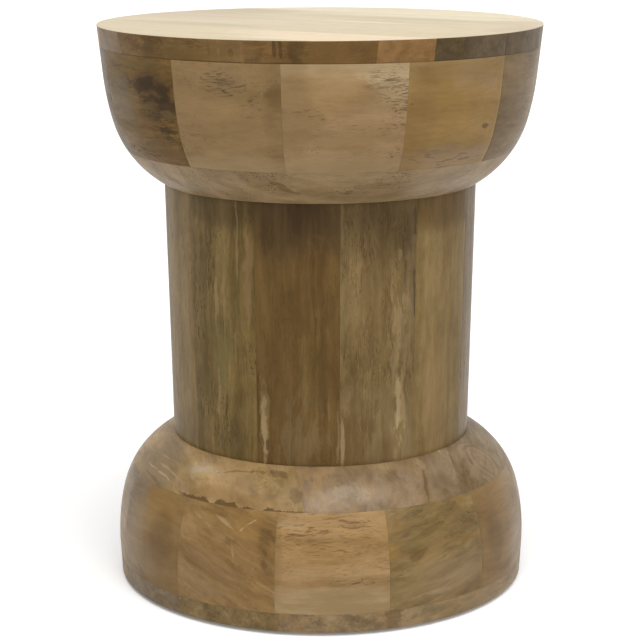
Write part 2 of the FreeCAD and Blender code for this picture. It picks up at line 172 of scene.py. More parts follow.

# The pale and the deep colour of each tone of wood, and of the painted sheen
TONES = {
    "cream": ((0.665, 0.563, 0.383), (0.615, 0.513, 0.343)),
    "peach": ((0.805, 0.65, 0.463), (0.742, 0.594, 0.42)),
    "butter": ((0.795, 0.7, 0.5), (0.725, 0.63, 0.435)),
    "sage": ((0.58, 0.49, 0.312), (0.52, 0.436, 0.27)),
    "blush": ((0.615, 0.5, 0.355), (0.555, 0.45, 0.32)),
    # painted sheen: the whitish colour of painted highlights and sheen, not a tone of the wood
    "haze": ((0.5, 0.41, 0.3), (0.4, 0.32, 0.225)),
    "pale": ((0.56, 0.43, 0.25), (0.43, 0.32, 0.17)),
    "sapwood": ((0.4, 0.285, 0.145), (0.29, 0.2, 0.095)),
    "wheat": ((0.345, 0.22, 0.108), (0.262, 0.166, 0.076)),
    "tan": ((0.34, 0.212, 0.092), (0.24, 0.145, 0.058)),
    "hay": ((0.34, 0.219, 0.093), (0.239, 0.15, 0.059)),
    "dun": ((0.3, 0.205, 0.115), (0.21, 0.138, 0.072)),
    "amber": ((0.325, 0.197, 0.066), (0.24, 0.142, 0.042)),
    "gold": ((0.3, 0.18, 0.048), (0.22, 0.12, 0.028)),
    "biscuit": ((0.275, 0.173, 0.074), (0.205, 0.126, 0.049)),
    "honey": ((0.265, 0.16, 0.058), (0.19, 0.105, 0.032)),
    "drab": ((0.25, 0.168, 0.068), (0.165, 0.105, 0.036)),
    "grey": ((0.215, 0.148, 0.076), (0.14, 0.092, 0.044)),
    "olive": ((0.19, 0.125, 0.04), (0.115, 0.072, 0.02)),
    "moss": ((0.165, 0.128, 0.045), (0.115, 0.085, 0.026)),
    "chestnut": ((0.292, 0.161, 0.06), (0.23, 0.124, 0.044)),
    "ochre": ((0.385, 0.222, 0.078), (0.3, 0.165, 0.05)),
    "cocoa": ((0.182, 0.1, 0.033), (0.14, 0.075, 0.022)),
    "russet": ((0.155, 0.088, 0.028), (0.105, 0.054, 0.014)),
    "brown": ((0.145, 0.083, 0.025), (0.092, 0.048, 0.012)),
    "slate": ((0.15, 0.108, 0.062), (0.1, 0.07, 0.038)),
    "umber": ((0.118, 0.078, 0.038), (0.078, 0.05, 0.023)),
    "walnut": ((0.075, 0.044, 0.016), (0.042, 0.022, 0.007)),
    "ink": ((0.055, 0.03, 0.01), (0.03, 0.016, 0.006)),
}

# The noises of the figure: the place that each reads, its features a metre along and across the
# fibres, its detail and its roughness
NOISES = {
    "cloud": ("place", 15, 30, 4.0, 0.62),
    "band": ("wavy", 3.5, 62, 4.0, 0.62),
    "streak": ("curly", 15, 290, 3.0, 0.6),
    "vein": ("curly", 7, 78, 5.0, 0.68),
    "blotch": ("wavy", 26, 105, 4.0, 0.6),
    "flake": ("curly", 40, 165, 3.0, 0.66),
    "crack": ("curly", 11, 130, 4.0, 0.62),
    "wave": ("curly", 58, 620, 2.0, 0.5),
    "dash": ("curly", 95, 1150, 1.0, 0.5),
    "speck": ("curly", 380, 700, 1.0, 0.5),
    "cluster": ("place", 26, 50, 2.0, 0.5),
    "ripple": ("wavy", 170, 40, 2.0, 0.5),
    "edge": ("curly", 40, 110, 4.0, 0.65),
}
SEED_SHIFTS = (0.37, 0.23, 0.11)


def point(across, height):
    """A point of an outline, in the plane of the X and Z axes."""
    return Vector((across, 0, height))


def between(low, high, share):
    """The number at a share of the way from low to high."""
    return low + share * (high - low)


def extend(shape, vert, place):
    """Draws the outline on to a place, in short runs, and returns the new end."""
    run = place - vert.co
    count = max(1, round(run.length / (2 * ARC_STEP)))
    for _ in range(count):
        vert = bmesh.ops.extrude_vert_indiv(shape, verts=[vert])["verts"][0]
        vert.co += run / count
    return vert


def extend_arc(shape, vert, heading, place):
    """Draws the outline on to a place by the arc that leaves along heading: the end and its heading."""
    chord = place - vert.co
    side = TOWARDS_BACK.cross(heading).normalized()
    offset = chord.length_squared / (2 * chord.dot(side))
    centre = vert.co + side * offset
    spokes = [vert.co - centre, place - centre]
    turn = spokes[0].angle(spokes[1])
    if spokes[0].cross(spokes[1]).dot(TOWARDS_BACK) < 0:
        turn = -turn
    steps = max(2, round(abs(offset) * abs(turn) / ARC_STEP))
    spun = bmesh.ops.spin(
        shape, geom=[vert], cent=centre, axis=TOWARDS_BACK, dvec=ORIGIN, angle=turn,
        space=Matrix.Identity(4), steps=steps, use_duplicate=False,
    )
    end = next(item for item in spun["geom_last"] if isinstance(item, bmesh.types.BMVert))
    return end, Matrix.Rotation(turn, 3, TOWARDS_BACK) @ heading


def smooth_outline(shape, start, corner, turn, end):
    """An outline of one straight run and two arcs that follow it smoothly."""
    vert = extend(shape, shape.verts.new(start), corner)
    heading = (corner - start).normalized()
    for place in (turn, end):
        vert, heading = extend_arc(shape, vert, heading, place)


def bowl_outline(shape):
    """The bowl's outline, from the rim down to the column."""
    lip = HEAD_RADIUS + LIP
    turns = [
        point(between(lip, TOP_RADIUS, overhang), between(COLUMN_HEAD, TABLE_HEIGHT, height))
        for overhang, height in BOWL_TURN_SHARES
    ]
    smooth_outline(shape, point(TOP_RADIUS, TABLE_HEIGHT), *turns, point(lip, COLUMN_HEAD))


def base_outline(shape):
    """The base's outline, from the floor up to the column."""
    lip = FOOT_RADIUS + LIP
    turns = [
        point(between(lip, BASE_RADIUS, overhang), between(SOLE, COLUMN_FOOT, height))
        for overhang, height in BASE_TURN_SHARES
    ]
    smooth_outline(shape, point(BASE_RADIUS - BASE_DRAFT, SOLE), *turns, point(lip, COLUMN_FOOT))


def column_outline(shape):
    """The column's taper between its two tenons, from the foot up."""
    corners = (
        (FOOT_TENON, COLUMN_FOOT - TENON_LENGTH), (FOOT_TENON, COLUMN_FOOT),
        (FOOT_RADIUS, COLUMN_FOOT), (HEAD_RADIUS, COLUMN_HEAD),
        (HEAD_TENON, COLUMN_HEAD), (HEAD_TENON, COLUMN_HEAD + TENON_LENGTH),
    )
    end = shape.verts.new(point(*corners[0]))
    for corner in corners[1:]:
        end = extend(shape, end, point(*corner))


def everything(shape):
    """All the vertices, edges and faces of a shape."""
    return shape.verts[:] + shape.edges[:] + shape.faces[:]


def cut(shape, place, normal, waste):
    """Cuts a shape along a plane and clears the side that is waste."""
    bmesh.ops.bisect_plane(
        shape, geom=everything(shape), dist=CUT_TOLERANCE, plane_co=place, plane_no=normal,
        **{waste: True},
    )


def join(shape, *verts):
    """Draws an edge from each vertex to the next."""
    for pair in zip(verts, verts[1:]):
        shape.edges.new(pair)


def spin(shape, angle, steps, **ends):
    """Turns a whole shape round the axis of the table."""
    bmesh.ops.spin(
        shape, geom=everything(shape), cent=ORIGIN, axis=UP, dvec=ORIGIN, angle=angle,
        space=Matrix.Identity(4), steps=steps, **ends,
    )


def stretch_of(outline, low, high):
    """An outline between two levels, and its lower and upper end."""
    shape = bmesh.new()
    outline(shape)
    cut(shape, UP * low, UP, "clear_inner")
    cut(shape, UP * high, UP, "clear_outer")
    ends = [vert for vert in shape.verts if len(vert.link_edges) == 1]
    foot, head = sorted(ends, key=lambda vert: vert.co.z)
    return shape, foot, head


def spun_block(outline, low, high, bore, first, last):
    """A block turned from one angle to another, between two levels and outside a bore."""
    shape, foot, head = stretch_of(outline, low, high)
    inner_foot = shape.verts.new(point(bore, foot.co.z))
    inner_head = shape.verts.new(point(bore, head.co.z))
    join(shape, foot, inner_foot, inner_head, head)
    bmesh.ops.contextual_create(shape, geom=shape.edges[:])
    bmesh.ops.rotate(shape, verts=shape.verts[:], cent=ORIGIN, matrix=Matrix.Rotation(first, 3, "Z"))
    spin(shape, last - first, max(2, round(TURN_STEPS * (last - first) / FULL_TURN)))
    bmesh.ops.recalc_face_normals(shape, faces=shape.faces[:])
    return shape


def spun_board(outline, low, high, recess=None):
    """A whole round board between two levels, with a recess for the column at its lip."""
    shape, foot, head = stretch_of(outline, low, high)
    if recess:
        radius, level, floor_level = recess
        lip = min(foot, head, key=lambda end: abs(end.co.z - level))
        corners = [shape.verts.new(point(radius, height)) for height in (level, floor_level)]
        join(shape, lip, *corners)
    spin(shape, FULL_TURN, TURN_STEPS, use_merge=True)
    bmesh.ops.remove_doubles(shape, verts=shape.verts[:], dist=WELD_DISTANCE)
    fill_holes(shape)
    return shape


def fill_holes(shape):
    """Closes each flat opening with one face."""
    rim = [edge for edge in shape.edges if edge.is_boundary]
    bmesh.ops.holes_fill(shape, edges=rim, sides=0)
    bmesh.ops.recalc_face_normals(shape, faces=shape.faces[:])


def saw(board, grain, near, far):
    """The plank that a board gives between two joints, counted across the grain."""
    plank = board.copy()
    across = Matrix.Rotation(grain, 3, "Z") @ TOWARDS_BACK
    for side, outwards in ((near, -across), (far, across)):
        if side is not None:
            cut(plank, across * side, outwards, "clear_outer")
            fill_holes(plank)
    return plank


def spun_screws(head_face, way):
    """Wood screws whose heads end flush with a face and whose points go up (1) or down (-1)."""
    side = (
        (0, 0), (SCREW_HEAD_RADIUS, 0), (SCREW_HEAD_RADIUS, SCREW_HEAD_HEIGHT),
        (SCREW_RADIUS, SCREW_HEAD_HEIGHT), (SCREW_RADIUS, SCREW_LENGTH - SCREW_POINT_LENGTH),
        (0, SCREW_LENGTH),
    )
    shape = bmesh.new()
    join(shape, *(shape.verts.new(point(radius, way * height)) for radius, height in side))
    spin(shape, FULL_TURN, SCREW_FACETS, use_merge=True)
    bmesh.ops.remove_doubles(shape, verts=shape.verts[:], dist=WELD_DISTANCE)
    bmesh.ops.recalc_face_normals(shape, faces=shape.faces[:])
    place = Matrix.Rotation(SCREW_ANGLE, 3, "Z") @ point(SCREW_CIRCLE, head_face)
    bmesh.ops.translate(shape, verts=shape.verts[:], vec=place)
    copies = SCREW_COUNT - 1
    spin(shape, FULL_TURN * copies / SCREW_COUNT, copies, use_duplicate=True)
    return shape


def sand(shape, seed):
    """Takes the sharp edges off and lets the surface wander inwards a little, as sanding does."""
    sharp = [
        edge for edge in shape.edges
        if len(edge.link_faces) == 2 and edge.calc_face_angle() > SHARP_ANGLE
    ]
    bmesh.ops.bevel(
        shape, geom=sharp, offset=JOINT_BEVEL, offset_type="OFFSET", segments=2, profile=0.5,
        affect="EDGES", clamp_overlap=True, material=-1,
    )
    shift = Vector([seed * step for step in WANDER_SHIFTS])
    for vert in shape.verts:
        outwards = Vector((vert.co.x, vert.co.y, 0))
        if outwards.length < COLUMN_BORE:
            continue
        depth = 0.5 + 0.5 * noise.noise(vert.co * WANDER_PITCH + shift)
        vert.co -= outwards.normalized() * (WANDER * depth)


def put(name, data):
    """A new object in the scene."""
    item = bpy.data.objects.new(name, data)
    bpy.context.scene.collection.objects.link(item)
    return item


def as_piece(shape, node, material):
    """Makes the finished mesh a piece that stands for its node."""
    mesh = bpy.data.meshes.new("turned_" + node)
    shape.to_mesh(mesh)
    shape.free()
    mesh.polygons.foreach_set("use_smooth", [True] * len(mesh.polygons))
    mesh.set_sharp_from_angle(angle=SHARP_ANGLE)
    mesh.materials.append(material)
    piece = put(mesh.name, mesh)
    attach(piece, "root")
    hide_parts(node)


def arithmetic(operation):
    """An operator on wires and its reflected form, which both add a Math node."""
    def forwards(self, other):
        return self.finish.maths(operation, self, other)

    def backwards(self, other):
        return self.finish.maths(operation, other, self)

    return forwards, backwards


class Wire:
    """A number, colour or vector in a material's nodes, with Python's own arithmetic."""

    __add__, __radd__ = arithmetic("ADD")
    __sub__, __rsub__ = arithmetic("SUBTRACT")
    __mul__, __rmul__ = arithmetic("MULTIPLY")
    __truediv__, __rtruediv__ = arithmetic("DIVIDE")
    __pow__, __rpow__ = arithmetic("POWER")

    def __init__(self, finish, socket):
        self.finish = finish
        self.socket = socket

    def __abs__(self):
        return self.finish.maths("ABSOLUTE", self)


class Finish:
    """A material, or the world, and the nodes that make its look."""

    def __init__(self, owner):
        owner.use_nodes = True
        self.owner = owner
        self.nodes = owner.node_tree.nodes

    def add(self, kind, settings=None, sockets=None, out=0):
        """Adds a node, sets it up, feeds its sockets and gives the wire of one output."""
        node = self.nodes.new(kind)
        for name, value in (settings or {}).items():
            setattr(node, name, value)
        self.feed(node, sockets or {})
        return Wire(self, node.outputs[out])

    def feed(self, node, sockets):
        """Links wires to a node's sockets, or sets the sockets' own values."""
        for name, value in sockets.items():
            socket = node.inputs[name]
            if isinstance(value, Wire):
                self.owner.node_tree.links.new(value.socket, socket)
            elif socket.type == "RGBA" and len(value) == 3:
                socket.default_value = (*value, 1)
            else:
                socket.default_value = value

    def shade(self, sockets):
        """Feeds the material's shader."""
        self.feed(self.nodes["Principled BSDF"], sockets)

    def maths(self, operation, *terms):
        """Arithmetic on numbers."""
        return self.add("ShaderNodeMath", {"operation": operation}, dict(enumerate(terms)))

    def vector(self, operation, *terms, out=0):
        """Vector arithmetic."""
        sockets = dict(enumerate(terms))
        if operation == "SCALE":
            sockets = {0: terms[0], "Scale": terms[1]}
        return self.add("ShaderNodeVectorMath", {"operation": operation}, sockets, out)

    def mix(self, share, first, second):
        """The colour at a share of the way from the first to the second."""
        settings = {"data_type": "RGBA", "clamp_factor": True}
        return self.add("ShaderNodeMix", settings, {0: share, 6: first, 7: second}, out=2)

    def noise(self, place, detail=2.0, rough=0.5, out="Fac"):
        """Soft noise with features about one unit across."""
        sockets = {"Vector": place, "Scale": 1.0, "Detail": detail, "Roughness": rough}
        return self.add("ShaderNodeTexNoise", {"noise_dimensions": "3D"}, sockets, out)

    def step(self, value, low, high):
        """0 under low, 1 over high and smooth between, or the other way round where low is higher."""
        sockets = {"Value": value, "From Min": low, "From Max": high}
        return self.add("ShaderNodeMapRange", {"interpolation_type": "SMOOTHSTEP"}, sockets)

    def seen(self):
        """1 for the rays that see the white room and 0 for all others."""
        first, second, third = (self.add("ShaderNodeLightPath", out=ray) for ray in SEEING_RAYS)
        return self.maths("MAXIMUM", self.maths("MAXIMUM", first, second), third)


class Grain:
    """The way a piece's fibres run: along, across and into it, from the middle of its outside."""

    def __init__(self, along, across, middle):
        self.along = along.normalized()
        self.across = across.normalized()
        self.depth = self.along.cross(self.across)
        self.middle = middle

    def mapping(self):
        """Rotation and shift that turn the part's frame into the grain's."""
        turn = Matrix((self.along, self.across, self.depth))
        return turn.to_euler("XYZ"), -(turn @ self.middle)


# Marks on a piece: the middle and half sizes along and across the fibres, the tone, the strength,
# how ragged the edge is and the tilt in degrees
MARK = "along across length width tone strength "

# A stain, and one with a soft edge; both give the wood's own stains and tone changes, and some soft ones
# are painted highlights, sheen and shade
patch = namedtuple("patch", MARK + "ragged tilt", defaults=(0.7, 1.0, 0))
glow = namedtuple("glow", MARK + "tilt ragged", defaults=(0.6, 0, 0.3))

# Open pores: short ones, short ones close together and long wavy ones
dashes = namedtuple("dashes", MARK + "ragged tilt", defaults=("ink", 0.75, 1.4, 0))
hatch = namedtuple("hatch", MARK + "ragged tilt", defaults=("walnut", 0.6, 0.6, 0))
waves = namedtuple("waves", MARK + "ragged tilt", defaults=("walnut", 0.5, 1.2, 0))


class Timber(Finish):
    """The grain of one piece of wood: the places along its fibres and the noises of its figure."""

    def __init__(self, name, grain, seed, lean):
        super().__init__(bpy.data.materials.new(name))
        rotation, shift = grain.mapping()
        table = self.add("ShaderNodeTexCoord", out="Object")
        self.level = self.add("ShaderNodeSeparateXYZ", sockets={0: table}, out=2)
        self.local = self.moved(table, rotation, shift)
        turn = (0, 0, math.radians(lean))
        self.place = self.moved(self.local, turn, [seed * step for step in SEED_SHIFTS])
        self.sway = self.swayed(9, 24, 0.014, 2.0)
        self.wavy = self.vector("ADD", self.place, self.sway)
        self.fine_sway = self.swayed(70, 110, 0.004, 1.0)
        self.curly = self.vector("ADD", self.wavy, self.fine_sway)
        for noise_name, (source, *sizes) in NOISES.items():
            setattr(self, noise_name, self.grained(getattr(self, source), *sizes))
        self.pores = self.step(self.dash, 0.56, 0.7)
        self.rough = self.step(self.cluster, 0.5, 0.6)
        self.split = self.opening(0.5, 0.04, 0.015)
        self.gaps = {
            dashes: self.pores, hatch: self.step(self.dash, 0.51, 0.62),
            waves: self.step(self.wave, 0.54, 0.63),
        }
        drift = self.vector("ADD", self.vector("SCALE", self.sway, 0.5), self.fine_sway)
        marked = self.vector("ADD", self.local, drift)
        self.along = self.add("ShaderNodeSeparateXYZ", sockets={0: marked})
        self.across = Wire(self, self.along.socket.node.outputs[1])

    def moved(self, place, rotation, shift):
        """A place, turned and then shifted."""
        sockets = {"Vector": place, "Rotation": rotation, "Location": shift}
        return self.add("ShaderNodeMapping", {"vector_type": "POINT"}, sockets)

    def grained(self, place, along, across, detail=2.0, rough=0.5, out="Fac"):
        """Noise with so many features a metre along and across the fibres."""
        return self.noise(self.vector("MULTIPLY", place, (along, across, across)), detail, rough, out)

    def swayed(self, along, across, reach, detail):
        """How far the fibres sway from their line."""
        colour = self.grained(self.place, along, across, detail, out="Color")
        offset = self.vector("SUBTRACT", colour, (0.5, 0.5, 0.5))
        return self.vector("MULTIPLY", offset, (0, reach, reach))

    def opening(self, middle, outside, inside):
        """Thin lines where the cracks' noise passes a value."""
        line = self.step(abs(self.crack - middle), outside, inside)
        return line * (self.rough * 0.6 + 0.4)

    def depth(self, contrast):
        """How deep the colour of the wood is, from 0 for pale to 1 for deep."""
        depth = (self.cloud - 0.5) * 2.2 + (self.band - 0.5) * 2.0 + (self.streak - 0.5) * 1.3
        return self.step(depth * contrast + 0.5, 0.0, 1.0)

    def knotted(self, depth, knot):
        """The depth with a knot's rings round a place in millimetres."""
        swirl = self.vector("SUBTRACT", self.local, tuple(item * MM for item in knot))
        swirl = self.vector("MULTIPLY", swirl, KNOT_STRETCH)
        swirl = self.vector("ADD", swirl, self.swayed(60, 60, 0.012, 2.0))
        reach = self.vector("LENGTH", swirl, out=1)
        warp = self.grained(self.place, 40, 40) * KNOT_WARP
        rings = self.maths("SINE", reach * KNOT_RINGS + warp)
        near = self.step(reach, *KNOT_EDGE) * self.step(self.blotch, 0.3, 0.55)
        return self.step(depth + near * (rings * 0.5 + 0.05), 0.0, 1.1)

    def shading(self, contrast, figure, blotches, flakes):
        """How much the figure lightens or darkens the wood."""
        shade = 1 + (self.streak - 0.5) * 0.5 * contrast + (self.dash - 0.5) * 0.3
        shade = shade + (self.ripple - 0.5) * figure
        shade = shade - self.step(self.blotch, 0.52, 0.6) * blotches
        shade = shade + self.step(self.blotch, 0.42, 0.34) * (blotches * 0.6)
        shade = shade - self.step(self.flake, 0.53, 0.56) * flakes
        return shade + self.step(self.flake, 0.46, 0.43) * flakes

    def opened(self, colour, dark, bright, flecks, lines, cracks):
        """The colour with its open grain: ragged lines, cracks and pores."""
        rough = self.rough
        colour = self.mix(self.step(self.streak, 0.62, 0.7) * (rough * 0.7 + 0.3) * lines, colour, dark)
        colour = self.mix(self.split * cracks, colour, dark)
        colour = self.mix(self.opening(0.56, 0.035, 0.01) * cracks * 0.7, colour, bright)
        colour = self.mix(self.pores * (rough * 0.85 + 0.15) * flecks, colour, dark)
        colour = self.mix(self.step(self.speck, 0.66, 0.72) * (rough + 0.2) * flecks, colour, dark)
        return self.mix(self.step(self.dash, 0.43, 0.31) * rough * flecks * 0.5, colour, bright)

    def stain_and_painted_light(self, colour, mark, depth, where):
        """The colour with one mark on it, only on the face or the side if where says so; the marks are
        stains of the wood and some painted highlights, sheen and shade.
        """
        run, rise = self.along - mark.along * MM, self.across - mark.across * MM
        if mark.tilt:
            turn = math.radians(mark.tilt)
            cosine, sine = math.cos(turn), math.sin(turn)
            run, rise = run * cosine + rise * sine, rise * cosine - run * sine
        reach = (run / (mark.length * MM)) ** 2 + (rise / (mark.width * MM)) ** 2
        low, high = (-1.0, 0.95) if isinstance(mark, glow) else (0.0, 0.9)
        mask = self.step(1 - reach + (self.edge - 0.5) * (6 * mark.ragged), low, high)
        if type(mark) in self.gaps:
            mask = mask * self.gaps[type(mark)]
        if where:
            mask = mask * where
        return self.mix(mask * mark.strength, colour, self.mix(depth, *TONES[mark.tone]))

    def torn_away(self):
        """Where the crown's edge over the base ring is torn, at the front."""
        ragged = self.grained(self.place, 70, 90, 4.0, 0.65)
        gap = (ragged - TORN_LINE) * TORN_STRAY - (self.level - CROWN_FOOT)
        reach = self.step(self.across, *TORN_ACROSS) * self.step(self.along, *TORN_ALONG)
        return self.step(gap, *TORN_BORDER) * reach


def wood_finish(
    name, tone, grain, seed, side=None, figure=0.12, flecks=0.5, lines=0.4, contrast=1.0, light=1.0,
    stain=0.15, veins=0.3, second="olive", blotches=0.12, flakes=0.08, cracks=0.3, gloss=0.16,
    lean=0, marks=(), side_marks=(), seam=0.35, knot=None, torn=False,
):
    """The finish of one piece of wood, satin and close to the bare timber."""
    piece = Timber(name, grain, seed, lean)
    pale, deep = TONES[tone]
    face = rim = None
    if side:
        face = piece.step(piece.level, *FACE_EDGE)
        rim = 1 - face
        pale, deep = (piece.mix(face, *pair) for pair in zip(TONES[side], TONES[tone]))
        clean = 1 - face * 0.8
        contrast, flecks, lines = clean * contrast, clean * flecks, clean * lines
        blotches, flakes = clean * blotches, clean * flakes
        cracks, veins, stain = rim * cracks, rim * veins, rim * stain
    dark = piece.vector("SCALE", deep, 0.5)
    bright = piece.vector("SCALE", pale, 1.25)

    depth = piece.depth(contrast)
    if knot:
        depth = piece.knotted(depth, knot)
    colour = piece.mix(depth, pale, deep)
    colour = piece.mix(piece.step(piece.cloud, 0.53, 0.6) * stain, colour, TONES["moss"][0])
    veined = piece.mix(depth, *TONES[second])
    colour = piece.mix(piece.step(piece.vein, 0.535, 0.575) * veins, colour, veined)
    shade = piece.shading(contrast, figure, blotches, flakes)
    colour = piece.vector("SCALE", colour, shade * light)
    colour = piece.opened(colour, dark, bright, flecks, lines, cracks)
    for mark in marks:
        colour = piece.stain_and_painted_light(colour, mark, depth, face)
    for mark in side_marks:
        colour = piece.stain_and_painted_light(colour, mark, depth, rim)
    if side:
        under = piece.step(piece.level + (piece.edge - 0.5) * SEAM_WANDER * MM, *SEAM_EDGE)
        colour = piece.mix(under * seam, colour, dark)

    height = (piece.dash - 0.5) * 0.5 + (piece.streak - 0.5) * 0.8 - piece.pores * piece.rough * 1.2
    height = height - piece.split * cracks * 0.8
    if torn:
        gap = piece.torn_away()
        # The torn gap is a real chip in the crown's edge; its dark brown is painted shade in the chip, and
        # the bump sinks it
        colour = piece.mix(gap * 0.85, colour, TONES["brown"][1])
        height = height - gap * TORN_DEPTH
    bump = {"Strength": 0.5, "Distance": 0.08 * MM, "Height": height}
    piece.shade({
        "Base Color": colour,
        "Roughness": 0.42 + (piece.band - 0.5) * 0.2 + piece.pores * 0.15,
        "Normal": piece.add("ShaderNodeBump", sockets=bump),
        "Specular IOR Level": gloss,
    })
    return piece.owner


def place_on(radius, share, level):
    """The place at a share of a turn from the front, at a radius and a level."""
    turn = FULL_TURN * share
    return Vector((radius * math.sin(turn), -radius * math.cos(turn), level))


def block_grain(share, radius, levels, upright):
    """Fibres that run up a stave, or else level and square to a block's middle."""
    sideways = place_on(1, share + QUARTER, 0)
    fibres = (UP, sideways) if upright else (sideways, UP)
    return Grain(*fibres, place_on(radius, share, sum(levels) / 2))


def plank_grain(angle, offset, level):
    """Fibres that run along a board's planks."""
    turn = Matrix.Rotation(angle, 3, "Z")
    across = turn @ TOWARDS_BACK
    return Grain(turn @ Vector((1, 0, 0)), across, across * offset + UP * level)


def add_ring(kind, outline, levels, bore, joints, radius, woods, upright=False):
    """The turned blocks or staves of one ring, side by side."""
    for number, (first, last, looks) in enumerate(zip(joints, joints[1:], woods), 1):
        node = f"{kind}_{number:02d}"
        start, end = (FULL_TURN * (share - QUARTER) for share in (first, last))
        shape = spun_block(outline, *levels, bore, start, end)
        sand(shape, number)
        grain = block_grain((first + last) / 2, radius, levels, upright)
        as_piece(shape, node, wood_finish(node, grain=grain, **looks))


def add_board(kind, board, grain_angle, joints, level, woods):
    """The planks of one round board."""
    for number, (near, far, looks) in enumerate(zip([None, *joints], [*joints, None], woods), 1):
        node = f"{kind}_{number}"
        plank = saw(board, grain_angle, near, far)
        sand(plank, BOARD_SEED + number)
        known = [side for side in (near, far) if side is not None]
        grain = plank_grain(grain_angle, sum(known) / len(known), level)
        as_piece(plank, node, wood_finish(node, grain=grain, **looks))
    board.free()


# The looks of a piece whose figure hardly shows
CALM = {
    "contrast": 0.7, "flecks": 0.1, "lines": 0.1, "stain": 0.0, "veins": 0.15, "blotches": 0.06,
    "flakes": 0.04, "cracks": 0.05,
}


def wood(tone, seed, *marks, like=None, **looks):
    """What one piece of wood looks like."""
    return {"tone": tone, "seed": seed, "marks": marks, **(like or {}), **looks}


# The wood of each piece, in the order of their numbers; the marks that are painted highlights, sheen and
# shade are noted at each
BOWL_WOOD = [wood(
    "brown", 1,
    glow(28, 14, 22, 20, "walnut", 0.75), patch(16, 17, 32, 9, "ink", 0.9, 1.2),
    patch(36, 0, 14, 14, "ink", 0.7, 1.4), patch(24, -30, 40, 10, "walnut", 0.3),
    glow(-22, 0, 22, 70, "drab", 0.25), patch(28, 34, 40, 5, "olive", 0.6),
    patch(38, -2, 10, 3, "drab", 0.3, 1.6), glow(-19, 4, 14, 18, "slate", 0.9),
    patch(-20, 4, 14, 26, "drab", 0.3, 1.4),
    light=1.47, contrast=0.7, second="walnut", flecks=0.8, lines=0.5, flakes=0.1, cracks=0.4, gloss=0.08,
), wood(
    "biscuit", 2,
    glow(2, 29, 14, 11, "grey", 0.4), hatch(0, 26, 21, 12, "ink", 0.65), waves(2, 24, 18, 8, strength=0.3),
    glow(41, 0, 10, 38, "brown", 0.25), waves(14, 14, 20, 6), patch(40, 17, 9, 13, "brown", 0.4, 0.4),
    patch(30, 23, 1.2, 7, "sapwood", 0.3), patch(6, 26, 9, 3, "walnut", 0.35, 1.4),
    # glow(0, -38) along the foot: painted sheen, the white floor's reflection on the bowl's under-turn
    dashes(20, 4, 20, 6, strength=0.4), glow(0, -38, 60, 9, "sapwood"), glow(-10, 4, 26, 10, "tan", 0.3),
    like=CALM, light=1.04, flecks=0.4, lines=0.15, stain=0.05, veins=0.12, second="tan", blotches=0.05,
    cracks=0.06,
), wood(
    "wheat", 3,
    # glow(-4, 38) along the top: painted highlight of the lamps near the rim
    glow(-4, 38, 60, 10, "pale", 0.5), patch(-14, 22, 26, 14, "sapwood", 0.55),
    glow(-14, 20, 30, 20, "ochre", 0.35), patch(20, 31, 18, 3, "pale", 0.4, 1.6),
    glow(37, 26, 14, 14, "pale", 0.45), hatch(32, 27, 20, 14, strength=0.45), hatch(41, 6, 8, 20),
    glow(-40, 10, 14, 34, "biscuit", 0.7), glow(-26, -1, 12, 8, "biscuit"), waves(35, 20, 14, 16),
    dashes(20, -6, 24, 6, strength=0.5), waves(38, -32, 8, 10, strength=0.6),
    # glow(10, -38) along the foot: painted sheen, the white floor's reflection on the bowl's under-turn
    glow(10, -38, 60, 9, "sapwood", 0.7), waves(-20, 4, 22, 4, strength=0.4),
    patch(10, -14, 40, 12, "honey", 0.3),
    like=CALM, light=1.02, flecks=0.4, lines=0.15, second="honey", cracks=0.06,
), wood(
    "amber", 4,
    # glow(0, 38) along the top: painted highlight of the lamps near the rim
    glow(0, 38, 60, 9, "sapwood", 0.35), patch(16, 26, 34, 11, "wheat", 0.6, 0.8, -12),
    glow(-20, 8, 20, 30, "gold", 0.4), patch(31.7, -12, 5, 2.4, "walnut", 0.7, 0.8),
    # glow(0, -33) along the foot: painted sheen, the white floor's reflection on the bowl's under-turn
    patch(-42, 11, 1.8, 1.4, "walnut", 0.7, 0.3), glow(0, -33, 50, 8, "dun", 0.8), waves(-2, -35, 36, 7),
    glow(-34, -4, 12, 40, "honey"), patch(8, 6, 30, 12, "gold", 0.3, 1.6),
    like=CALM, light=1.03, flecks=0.25, lines=0.15, second="honey", veins=0.3,
), wood(
    "grey", 5,
    # glow(30, 0) and glow(40, 0) over the right end: painted sheen, the grazing reflection at the bowl's
    # right edge
    glow(-28, 0, 24, 60, "honey", 0.3), glow(-30, -6, 14, 30, "slate", 0.4), glow(30, 0, 30, 70, "dun"),
    glow(40, 0, 22, 70, "haze", 0.28), glow(-20, 30, 20, 8, "dun", 0.4),
    light=0.92, flecks=0.4, lines=0.3, second="drab", gloss=0.10,
), wood("dun", 6), wood("tan", 7, second="honey"), wood("brown", 8), wood("honey", 9),
    wood("gold", 10, second="honey"), wood("tan", 11, second="dun"),
    wood("grey", 12, light=0.82, gloss=0.12)]
